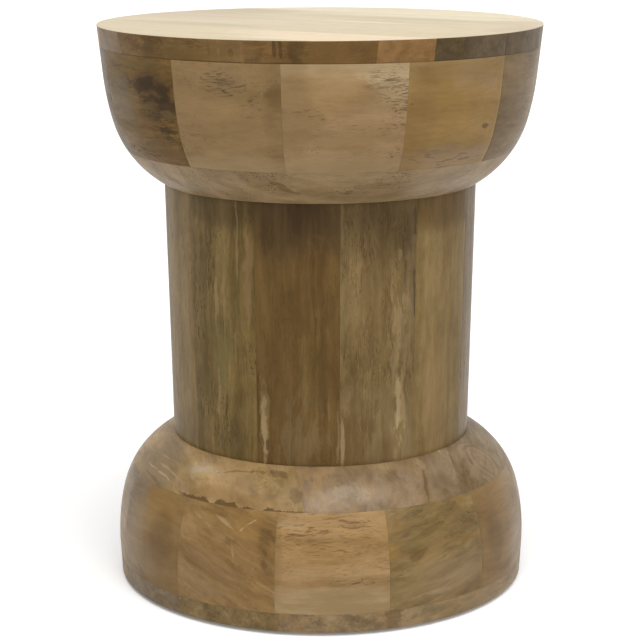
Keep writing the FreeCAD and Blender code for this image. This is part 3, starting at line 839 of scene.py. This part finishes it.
COLUMN_WOOD = [wood(
    "olive", 13,
    patch(22, -5, 34, 1.6, "sapwood", 0.4, 1.2), patch(50, 26.5, 56, 5, "biscuit", 0.85, 0.5),
    patch(20, 3, 60, 0.8, "drab", 0.6, 0.8), patch(64, -14, 26, 1, "dun", 0.5, 0.8),
    patch(-17, -1, 30, 12, "moss", 0.6), dashes(62, -8, 20, 6), patch(-70, -3, 34, 2, "dun", 0.5, 1.2),
    # glow(98, 4) at the head of the stave: painted shade under the bowl's overhang
    patch(-20, -14, 60, 2, "drab", 0.5, 1.2), glow(98, 4, 16, 50, "walnut"),
    patch(80, -12, 22, 4, "walnut", 0.4, 1.4), patch(70, 17, 40, 1.2, "sapwood", 0.35),
    patch(-80, 12, 26, 6, "umber", 0.3, 1.4),
    flecks=0.8, lines=0.6, stain=0.2, second="drab", veins=0.5, light=1.06, flakes=0.09, gloss=0.12,
), wood(
    "brown", 14,
    # glow(98, 4) at the head of the stave: painted shade under the bowl's overhang
    glow(98, 4, 36, 50, "walnut", 0.85), patch(52, 11, 30, 14, "russet", 0.6),
    patch(-72, -26, 36, 4, "drab", 0.7, 1.2), patch(-82, -26, 30, 2.4, "sapwood", 0.65, 1.2),
    patch(-88, -24, 5, 1.6, "ink"), patch(-70, -30, 44, 0.9, "ink", 0.5, 0.8),
    patch(-59, -5, 36, 0.9, "moss", 0.6, 0.6), patch(-70, 31, 40, 1.3, "dun", 0.6),
    patch(-62, 24, 20, 1.3, "dun", 0.3), patch(-50, 8, 50, 16, "olive", 0.5),
    patch(-36, 14, 30, 6, "walnut", 0.25, 1.6), patch(-80, 4, 40, 20, "grey", 0.3, 1.2),
    flecks=0.3, lines=0.2, stain=0.05, veins=0.2, blotches=0.05, light=1.08, flakes=0.05, cracks=0.12,
    gloss=0.12,
), wood(
    "drab", 15,
    dashes(82, -12, 26, 14), dashes(80, 23, 26, 8), patch(36, 24, 34, 1.8, "sapwood", 0.35),
    dashes(36, 20, 70, 9, "walnut", 0.7), glow(-74, 0, 36, 40, "sapwood", 0.32),
    patch(-56, 14, 30, 5, "moss", 0.5), patch(-84, 17, 26, 5, "sapwood", 0.5, 1.2),
    patch(87, -31, 24, 1.4, "sapwood", 0.35, 0.9), patch(34, 31, 76, 1.3, "ink", 0.75, 1.4),
    # glow(98, 2) at the head of the stave: painted shade under the bowl's overhang
    glow(98, 2, 34, 60, "walnut"), glow(-90, -24, 24, 15, "brown", 0.75),
    patch(-66, 17.5, 46, 5, "sapwood", 0.7, 1.3), patch(-56, 17, 32, 2.6, "pale", 0.5, 1.3),
    patch(2, 18.5, 34, 0.9, "walnut", 0.6, 0.8), patch(-20, 18, 60, 11, "sapwood", 0.4, 1.6),
    patch(-40, -14, 50, 12, "brown", 0.35, 1.4), patch(-88, -29, 20, 1.6, "sapwood", 0.6),
    glow(30, -4, 50, 22, "tan", 0.2), glow(44, 27, 50, 6, "umber", 0.35), glow(-96, 8, 16, 6, "brown", 0.5),
    flecks=0.8, lines=0.5, light=0.88, veins=0.35, flakes=0.1, cracks=0.28, gloss=0.12,
), wood(
    "drab", 16,
    # glow(98, 0) at the head of the stave: painted shade under the bowl's overhang
    glow(98, 0, 20, 60, "brown", 0.75), glow(-70, -10, 50, 10, "tan", 0.4),
    like=CALM, flecks=0.3, lines=0.15, stain=0.1, light=1.12, gloss=0.1, cracks=0.08, flakes=0.08,
), wood("grey", 17), wood("olive", 18, second="dun"), wood("brown", 19), wood("honey", 20),
    wood("olive", 21), wood("brown", 22), wood("grey", 23),
    wood("drab", 24, light=1.06, second="grey", cracks=0.1, gloss=0.1)]
BASE_WOOD = [wood(
    "honey", 25,
    glow(-18, -12, 30, 20, "dun", 0.3), glow(24, 26, 22, 10, "gold", 0.5),
    glow(0, 4, 40, 30, "chestnut", 0.3), glow(-26, 27, 32, 11, "honey", 0.75),
    patch(-34, 20, 9, 8, "tan", 0.5, 1.3, -20), patch(-18, 37, 34, 5, "honey", 0.85, 0.5),
    patch(-8, 33, 26, 3, "brown", 0.35, 1.4), patch(-22, -2, 24, 3, "tan", 0.6, 1, -22),
    patch(-14, -18, 26, 3, "tan", 0.5, 1, -20), patch(-24, -10, 20, 2, "brown", 0.35, 1, -22),
    patch(8, -26, 20, 2, "brown", 0.3, 1, -18), patch(32, 18, 9, 7, "brown", 0.8, 1.2),
    glow(38, 20, 10, 18, "russet", 0.4), patch(35, 4, 3, 12, "russet", 0.6, 1.2),
    patch(-12, 17, 14, 3, "brown", 0.5, 1.2, -28), patch(4, 13, 9, 5, "brown", 0.45, 1.4),
    patch(12, -4, 12, 4, "russet", 0.4, 1.3, -40), patch(-2, 27, 12, 1.1, "sapwood", 0.7, 0.8, -24),
    patch(18, 27, 11, 1.1, "pale", 0.5, 0.8, 38), patch(9, 4, 11, 1, "sapwood", 0.6, 0.9, -76),
    patch(-20, 26, 14, 1.4, "sapwood", 0.5, 1.2, -20), patch(28, -6, 9, 1.2, "sapwood", 0.5, 1, -30),
    figure=0.3, lines=0.3, stain=0.0, lean=24, second="tan", veins=0.6, light=1.05, blotches=0.14,
    flakes=0.09, cracks=0.12, gloss=0.18,
), wood(
    "tan", 26,
    glow(0, 22, 60, 22, "ochre", 0.45), waves(0, 27, 50, 14, "chestnut", 0.8),
    glow(-45, 10, 6, 30, "honey", 0.8), waves(0, 31, 46, 8, "brown", 0.75),
    hatch(0, 18, 50, 12, "brown", 0.35), waves(0, 14, 44, 8, "chestnut", 0.8),
    dashes(0, 22, 46, 12, "russet", 0.6), dashes(20, -14, 22, 3, "walnut", 0.8),
    patch(10, -24, 8, 1.2, "walnut", 0.6), patch(0, 20, 46, 2, "honey", 0.5, 1.4),
    # glow(0, -32) along the foot: a paler band, partly the wood's smoother foot and mostly painted
    # reflection of the white floor
    patch(0, 4, 46, 2, "honey", 0.4, 1.4), glow(0, -32, 60, 14, "sapwood", 0.85),
    patch(20, 30, 10, 4, "russet", 0.35, 1.4), patch(-30, 32, 20, 3, "sapwood", 0.4, 1.4),
    patch(0, -6, 40, 5, "sapwood", 0.3, 1.4),
    flecks=0.6, stain=0.0, light=1.07, second="chestnut", veins=0.4, blotches=0.08, flakes=0.05,
    cracks=0.16, gloss=0.2,
), wood(
    "drab", 27,
    patch(32, 36, 14, 4, "gold", 0.8), glow(-14, 14, 26, 14, "olive", 0.35), glow(10, -20, 40, 16, "dun"),
    patch(-29, -16, 13, 8, "olive", 0.6, 1.2), glow(-24, -18, 16, 9, "drab", 0.7),
    patch(-42, 8, 7, 9, "gold", 0.6, 1.2), patch(-29, 18, 10, 3, "umber", 0.55, 1.3, 30),
    patch(-7, 20, 15, 3, "brown", 0.5, 1.4, 14), patch(-36, -12, 6, 4, "olive", 0.6, 1.3),
    patch(17, 15, 7, 8, "russet", 0.4, 1.4), patch(-20, 3, 12, 3, "brown", 0.5, 1.4, 30),
    patch(0, -6, 16, 3, "brown", 0.45, 1.4, 20), patch(20, -4, 14, 2, "umber", 0.4, 1.4, 12),
    patch(-16, -26, 20, 3, "olive", 0.4, 1.4, 10), patch(-38, 28, 12, 10, "honey", 0.5, 1.2),
    patch(-4, -30, 30, 2, "sapwood", 0.35, 1.4),
    lines=0.35, stain=0.0, light=1.03, lean=-10, second="honey", veins=0.5, blotches=0.18, flakes=0.1,
    cracks=0.15, gloss=0.18,
), wood(
    "honey", 28,
    # glow(34, 0) and glow(24, -20) at the right end: painted sheen, the grazing reflection at the base's
    # right edge
    glow(-22, 0, 12, 20, "russet", 0.7), glow(34, 0, 26, 80, "dun", 0.8), glow(0, 26, 26, 14, "tan", 0.3),
    glow(24, -20, 24, 18, "haze", 0.2),
    like=CALM, light=0.9, gloss=0.2, second="brown",
), wood("dun", 29, like=CALM, light=0.95, contrast=1.0, veins=0.3, blotches=0.12), wood("brown", 30),
    wood("honey", 31), wood("gold", 32, second="honey"), wood("tan", 33), wood("olive", 34), wood(
    "dun", 35,
    glow(32, 30, 26, 14, "grey", 0.95),
    like=CALM, light=1.14, veins=0.1, gloss=0.2, contrast=1.0,
), wood(
    "honey", 36,
    # glow(-36, -2) at the left end: painted sheen, the grazing reflection at the base's left edge
    glow(12, 24, 22, 16, "gold"), glow(20, 2, 14, 20, "russet", 0.65), glow(-36, -2, 26, 60, "dun", 0.9),
    glow(-40, 24, 24, 16, "grey", 0.9), glow(-16, 14, 12, 12, "drab"), glow(-10, -24, 26, 12, "grey", 0.4),
    patch(-6, -31, 9, 1.6, "ink", 0.5, 1, -30),
    like=CALM, flecks=0.2, second="tan", light=0.88, blotches=0.08, lines=0.12, cracks=0.06, contrast=0.75,
)]
TOP_WOOD = [wood(
    "cream", 41,
    side_marks=[
        glow(-40, -18, 34, 40, "russet", 0.5), glow(24, -18, 24, 40, "biscuit", 0.45),
        glow(66, -8, 16, 20, "russet"), patch(55, -12, 6, 9, "chestnut", 0.4, 1.4),
        patch(61.5, -10, 1.1, 8, "ink", 0.6, 1.4), patch(66, -8.5, 1, 8, "ink", 0.55, 1.4),
        patch(77, -3, 5.5, 9, "walnut", 0.4), patch(46, -14, 8, 14, "walnut", 0.3, 1.6),
        patch(-20, -20, 16, 6, "drab", 0.4, 1.6), patch(12, -21, 1.6, 9, "walnut", 0.3, 1.6),
        patch(30, -19, 2, 9, "walnut", 0.3, 1.6), patch(-46, -14, 10, 5, "walnut", 0.3, 1.6),
        patch(20, -21, 1.2, 9, "tan", 0.4, 1.6), patch(38, -16, 1.4, 9, "chestnut", 0.5, 1.6),
        patch(-60, -10, 9, 9, "chestnut", 0.4, 1.4),
    ],
    side="cocoa", flecks=0.9, lines=0.8, veins=0.4, second="honey", flakes=0.13, cracks=0.45, gloss=0.1,
    seam=0.75,
), wood(
    "cream", 42,
    glow(96, 0, 74, 60, "peach", 1),
    side_marks=[glow(-105, 0, 24, 30, "dun", 1), glow(-105, 0, 24, 30, "slate", 0.4)],
    side="cocoa", contrast=0.5, flakes=0.05, blotches=0.05, second="honey", veins=0.15, stain=0.0,
    cracks=0.2, gloss=0.1,
), wood(
    "peach", 43,
    glow(-110, 0, 105, 80, "cream", 1),
    side="chestnut", gloss=0.1, veins=0.1, flakes=0.05, cracks=0.2, stain=0.0,
), wood(
    "cream", 44,
    glow(-95, -6, 70, 11, "sage", 1), glow(-60, -14, 50, 9, "sage", 0.8),
    glow(-100, -2, 56, 4, "sage", 0.8),
    side_marks=[
        patch(151.5, 0, 1.5, 30, "ink", 0.7, 0.6), glow(175, 20, 9, 30, "slate", 0.8),
        patch(167, -2, 6, 8, "slate", 0.5, 1.4),
    ],
    side="umber", gloss=0.1,
), wood(
    "cream", 45,
    glow(-125, 4, 70, 30, "blush", 0.8), glow(168, 20, 18, 50, "blush", 1), glow(60, 20, 70, 11, "sage"),
    glow(30, 8, 36, 6, "butter", 0.7),
    side_marks=[glow(178, 0, 60, 60, "umber", 0.75)],
    side="slate", gloss=0.1,
), wood(
    "cream", 46,
    glow(-135, 0, 50, 40, "sage", 1), glow(40, -18, 90, 13, "sage", 0.8), glow(55, -8, 40, 4, "sage", 1),
    glow(60, 16, 100, 14, "butter", 0.9), glow(142, -20, 24, 30, "blush", 0.7),
    side="grey", light=1.03, gloss=0.1,
), wood("butter", 47, side="grey", gloss=0.1)]
FLOOR_WOOD = [wood(
    "grey", 51,
    dashes(-76, -46, 16, 8), dashes(-20, -50, 30, 8, strength=0.5),
    # glow(76, -50) at the right front: painted sheen on the bowl's under-turn
    patch(-60, -48, 14, 2, "russet", 0.5, 1.5), glow(76, -50, 40, 24, "haze", 0.25),
    like=CALM, light=1.58, flecks=0.7, lines=0.15, second="drab", gloss=0.14, cracks=0.04, stain=0.05,
    flakes=0.08,
), wood("grey", 52, light=1.55, flecks=0.6), wood("grey", 53, light=1.5), wood("grey", 54, light=1.5)]
CROWN_WOOD = [wood(
    "hay", 55,
    # glow(79, -65) and the patch there: a cream streak in the wood with a painted highlight on it
    glow(79, -65, 20, 6, "pale", 0.5, 42), patch(79, -65, 18, 3, "haze", 0.5, 1.3, 42),
    glow(134, -6, 16, 14, "drab", 0.75), glow(106, -46, 24, 14, "wheat", 0.45),
    patch(138, -6, 9, 7, "brown", 0.55, 1.3, 57), glow(106, -60, 26, 5, "honey", 0.65, 48),
    glow(128, -36, 24, 5, "honey", 0.5, 60), patch(72, -58, 6, 10, "wheat", 0.4, 1.4),
    patch(99, -42, 18, 0.9, "brown", 0.55, 0.9, 57), patch(119, -12, 13, 3.4, "brown", 0.6, 1.3, 57),
    patch(108, -28, 10, 1.6, "brown", 0.5, 1.2, 57), glow(34, -100, 36, 28, "grey", 0.85),
    patch(50, -89, 30, 0.7, "sapwood", 0.6, 1, 15), patch(46, -84, 26, 0.7, "sapwood", 0.5, 1, 16),
    patch(46, -94, 28, 0.7, "pale", 0.4, 1, 13), patch(40, -101, 24, 0.9, "brown", 0.5, 0.8, 9),
    flecks=0.4, lines=0.3, second="dun", veins=0.5, torn=True, light=1.21, flakes=0.1, cracks=0.12,
    gloss=0.18, contrast=0.85,
), wood(
    "dun", 56,
    patch(130, -36, 30, 14, "tan", 0.7, 1.4), patch(136, 24, 16, 10, "grey", 0.5, 1.4),
    # glow(146, -14) and patch(144, -10): painted highlight of the overhead lamp on the crown
    glow(124, -4, 6, 36, "wheat"), glow(121, 46, 8, 10, "wheat", 0.5), glow(146, -14, 6, 34, "haze", 0.2),
    patch(144, -10, 5, 16, "haze", 0.22, 1.4), patch(122, 43, 5, 9, "olive", 0.25, 1.4),
    patch(133, 25, 5, 6, "russet", 0.45, 1.3), patch(128, -2, 6, 10, "grey", 0.5, 1.4),
    patch(124, 20, 4, 8, "sapwood", 0.4, 1.4),
    flecks=0.3, lines=0.15, stain=0.1, light=0.9, second="tan", veins=0.6, flakes=0.07, blotches=0.16,
    cracks=0.08, gloss=0.2, contrast=0.8,
), wood(
    "dun", 57,
    glow(134, 5, 9, 14, "grey", 0.8), glow(146, -16, 6, 12, "drab"), glow(122, 2, 26, 12, "grey", 0.4),
    patch(136, -13, 16, 1.7, "brown", 0.7, 0.8), patch(119, -14, 6, 4, "sapwood", 0.5, 1.2),
    patch(99, 14, 5, 7, "pale", 0.5, 1.3), patch(142, 6, 8, 5, "brown", 0.35, 1.4),
    flecks=0.3, lines=0.15, light=0.97, flakes=0.07, blotches=0.16, cracks=0.08, gloss=0.18, contrast=0.8,
), wood(
    "grey", 58,
    patch(116, 10, 12, 8, "brown", 0.5), glow(80, 17, 16, 8, "dun", 0.8),
    light=1.16, flecks=0.3, lines=0.2, stain=0.0, knot=(90, 34, -13), cracks=0.08,
)]
PLATE_WOOD = [wood(
    "grey", 59,
    glow(-30, -88, 56, 22, "sapwood", 0.4), patch(-90, -66, 8, 8, "brown", 0.4, 1.4),
    patch(-64, -80, 7, 9, "umber", 0.35, 1.4), patch(-40, -90, 6, 8, "drab", 0.4, 1.4),
    light=1.36, flecks=0.8, second="honey", flakes=0.14, blotches=0.18, gloss=0.2, cracks=0.15, stain=0.05,
), wood("drab", 60, light=0.93, flakes=0.14, blotches=0.18, gloss=0.2),
    wood("grey", 61, flakes=0.12, blotches=0.18, gloss=0.24), wood("honey", 62)]


def add_table():
    """Every visible piece of wood."""
    recess_depth = TENON_LENGTH + GLUE_GAP
    head_recess = (HEAD_TENON + GLUE_GAP, COLUMN_HEAD, COLUMN_HEAD + recess_depth)
    foot_recess = (FOOT_TENON + GLUE_GAP, COLUMN_FOOT, COLUMN_FOOT - recess_depth)
    top = spun_board(bowl_outline, TOP_FOOT, TABLE_HEIGHT)
    bowl_floor = spun_board(bowl_outline, COLUMN_HEAD, BOWL_RING_FOOT, head_recess)
    crown = spun_board(base_outline, CROWN_FOOT, COLUMN_FOOT, foot_recess)
    plate = spun_board(base_outline, SOLE, RING_FOOT)
    add_board("top_plank", top, TOP_GRAIN, TOP_JOINTS, TABLE_HEIGHT, TOP_WOOD)
    add_ring(
        "bowl_block", bowl_outline, (BOWL_RING_FOOT, TOP_FOOT), BOWL_BORE,
        BOWL_JOINT_SHARES, TOP_RADIUS, BOWL_WOOD,
    )
    add_board(
        "bowl_floor_plank", bowl_floor, FLOOR_GRAIN, FLOOR_JOINTS, COLUMN_HEAD, FLOOR_WOOD,
    )
    add_ring(
        "column_stave", column_outline,
        (COLUMN_FOOT - TENON_LENGTH, COLUMN_HEAD + TENON_LENGTH), COLUMN_BORE,
        COLUMN_JOINT_SHARES, HEAD_RADIUS, COLUMN_WOOD, upright=True,
    )
    add_board("crown_plank", crown, CROWN_GRAIN, CROWN_JOINTS, COLUMN_FOOT, CROWN_WOOD)
    add_ring(
        "base_block", base_outline, (RING_FOOT, CROWN_FOOT), BASE_BORE,
        BASE_JOINT_SHARES, BASE_RADIUS, BASE_WOOD,
    )
    add_board("base_plate_plank", plate, PLATE_GRAIN, PLATE_JOINTS, SOLE, PLATE_WOOD)


def steel():
    """The finish of the screws."""
    finish = Finish(bpy.data.materials.new("screw_steel"))
    place = finish.vector("SCALE", finish.add("ShaderNodeTexCoord", out="Object"), 700)
    wear = finish.noise(place, detail=3.0)
    finish.shade({
        "Base Color": finish.mix(wear, (0.62, 0.61, 0.59), (0.46, 0.46, 0.47)),
        "Roughness": 0.28 + wear * 0.2,
        "Metallic": 1.0,
    })
    return finish.owner


def felt():
    """The finish of the pads under the base."""
    finish = Finish(bpy.data.materials.new("pad_felt"))
    place = finish.add("ShaderNodeTexCoord", out="Object")
    tuft = finish.noise(finish.vector("SCALE", place, 350), detail=3.0)
    fuzz = finish.noise(finish.vector("SCALE", place, 2200))
    bump = {"Strength": 0.6, "Distance": 0.2 * MM, "Height": fuzz}
    finish.shade({
        "Base Color": finish.mix((tuft + fuzz) * 0.5, (0.12, 0.095, 0.07), (0.05, 0.04, 0.03)),
        "Roughness": 0.85 + fuzz * 0.15,
        "Normal": finish.add("ShaderNodeBump", sockets=bump),
    })
    return finish.owner


def add_inner_parts():
    """The screws, and the frame's own plugs and pads, which keep their shapes."""
    metal = steel()
    for node, head_face, way in (("head_screws", BOWL_RING_FOOT, -1), ("foot_screws", CROWN_FOOT, 1)):
        as_piece(spun_screws(head_face, way), node, metal)
    plug = wood_finish("inner_wood", "tan", Grain(Vector((1, 0, 0)), TOWARDS_BACK, ORIGIN), 70)
    finishes = {"column_head_plug": plug, "column_foot_plug": plug, "floor_pads": felt()}
    for node, material in finishes.items():
        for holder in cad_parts[node].material_slots:
            holder.material = material


def add_camera():
    """The camera at the height, distance and lens that the picture was taken with."""
    data = bpy.data.cameras.new("camera")
    data.sensor_width = CAMERA_SENSOR
    data.lens = CAMERA_LENS
    camera = put("camera", data)
    camera.location = CAMERA_PLACE
    camera.rotation_euler = (math.pi / 2 - CAMERA_DIP, CAMERA_ROLL, CAMERA_TURN)
    bpy.context.scene.camera = camera


def add_sun(name, elevation, turn, spread, strength):
    """A far, soft lamp."""
    data = bpy.data.lights.new(name, "SUN")
    data.energy = strength
    data.angle = math.radians(spread)
    put(name, data).rotation_euler = (math.radians(90 - elevation), 0, math.radians(turn))


def add_sky():
    """Plain light all round, seen as white."""
    sky = Finish(bpy.data.worlds.new("studio"))
    plain = sky.nodes["Background"]
    sky.feed(plain, {"Color": WHITE, "Strength": SKY_LIGHT})
    seen = sky.add("ShaderNodeBackground", sockets={"Color": WHITE})
    shaders = {0: sky.seen(), 1: Wire(sky, plain.outputs[0]), 2: seen}
    blend = sky.add("ShaderNodeMixShader", sockets=shaders)
    sky.feed(sky.nodes["World Output"], {"Surface": blend})
    bpy.context.scene.world = sky.owner


def add_floor():
    """A white floor that keeps the table's shadow."""
    floor = bmesh.new()
    bmesh.ops.create_grid(floor, x_segments=1, y_segments=1, size=FLOOR_HALF_WIDTH)
    mesh = bpy.data.meshes.new("studio_floor")
    floor.to_mesh(mesh)
    floor.free()
    finish = Finish(bpy.data.materials.new("studio_floor"))
    seen = finish.seen()
    finish.shade({
        "Base Color": finish.mix(seen, FLOOR_WHITE, WHITE),
        "Emission Color": finish.mix(seen, (0, 0, 0), FLOOR_GLOW),
        "Emission Strength": 1.0,
        "Roughness": 0.9,
        "Specular IOR Level": 0.0,
    })
    mesh.materials.append(finish.owner)
    sweep = put(mesh.name, mesh)


add_table()
add_inner_parts()
for lamp_name, lamp in SUNS.items():
    add_sun(lamp_name, *lamp)
add_sky()
add_floor()
add_camera()
bpy.context.scene.view_settings.view_transform = "Standard"
